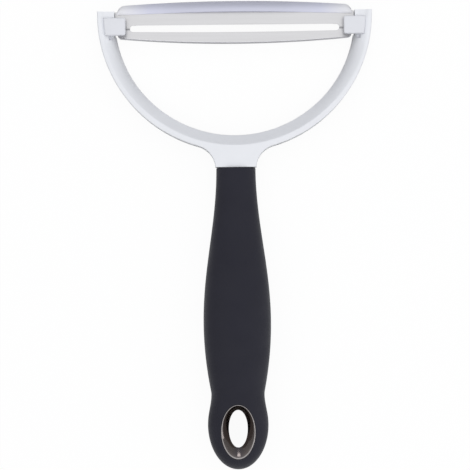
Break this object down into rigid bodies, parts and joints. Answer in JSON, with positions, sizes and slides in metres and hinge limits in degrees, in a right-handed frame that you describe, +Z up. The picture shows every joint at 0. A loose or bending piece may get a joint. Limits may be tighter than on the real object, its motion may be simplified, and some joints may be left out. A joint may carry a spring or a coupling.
{
  "type": "y-peeler",
  "caption": "Wide Y-shaped vegetable peeler: slotted blade swivelling between the arms of a metal fork, on a dark soft-grip handle with a ringed hanging hole.",
  "frame": {"origin": "on the table under the middle of the peeler's length and width, with the peeler lying on its back", "axes": "+X across the blade to the right, +Y along the handle towards the blade, +Z up out of the front face"},
  "size_m": [0.1168, 0.2, 0.02],
  "materials": {
    "fork_metal": "satin silver-grey coat on a casting",
    "cap_plastic": "satin moulded, the fork's colour",
    "pin_steel": "turned",
    "blade_steel": "fine brushed along its length",
    "spine_plastic": "satin moulded, the fork's colour",
    "core_plastic": "as moulded",
    "grip_rubber": "soft-touch matte",
    "ring_plate": "polished dark plating"
  },
  "bodies": {
    "handle": {"fork": "fork_metal", "pivot_cap_left": "cap_plastic", "pivot_cap_right": "cap_plastic", "handle_core": "core_plastic", "grip": "grip_rubber", "hang_ring_front": "ring_plate", "hang_ring_rear": "ring_plate"},
    "swivel_blade": {"blade": "blade_steel", "blade_spine": "spine_plastic", "pivot_pin_left": "pin_steel", "pivot_pin_right": "pin_steel"}
  },
  "joints": [
    {"name": "blade_swivel", "type": "hinge", "parent": "handle", "child": "swivel_blade", "pos_m": [0, 0.08835, 0.003], "axis": [1, 0, 0], "range_deg": [-29, 24]}
  ]
}
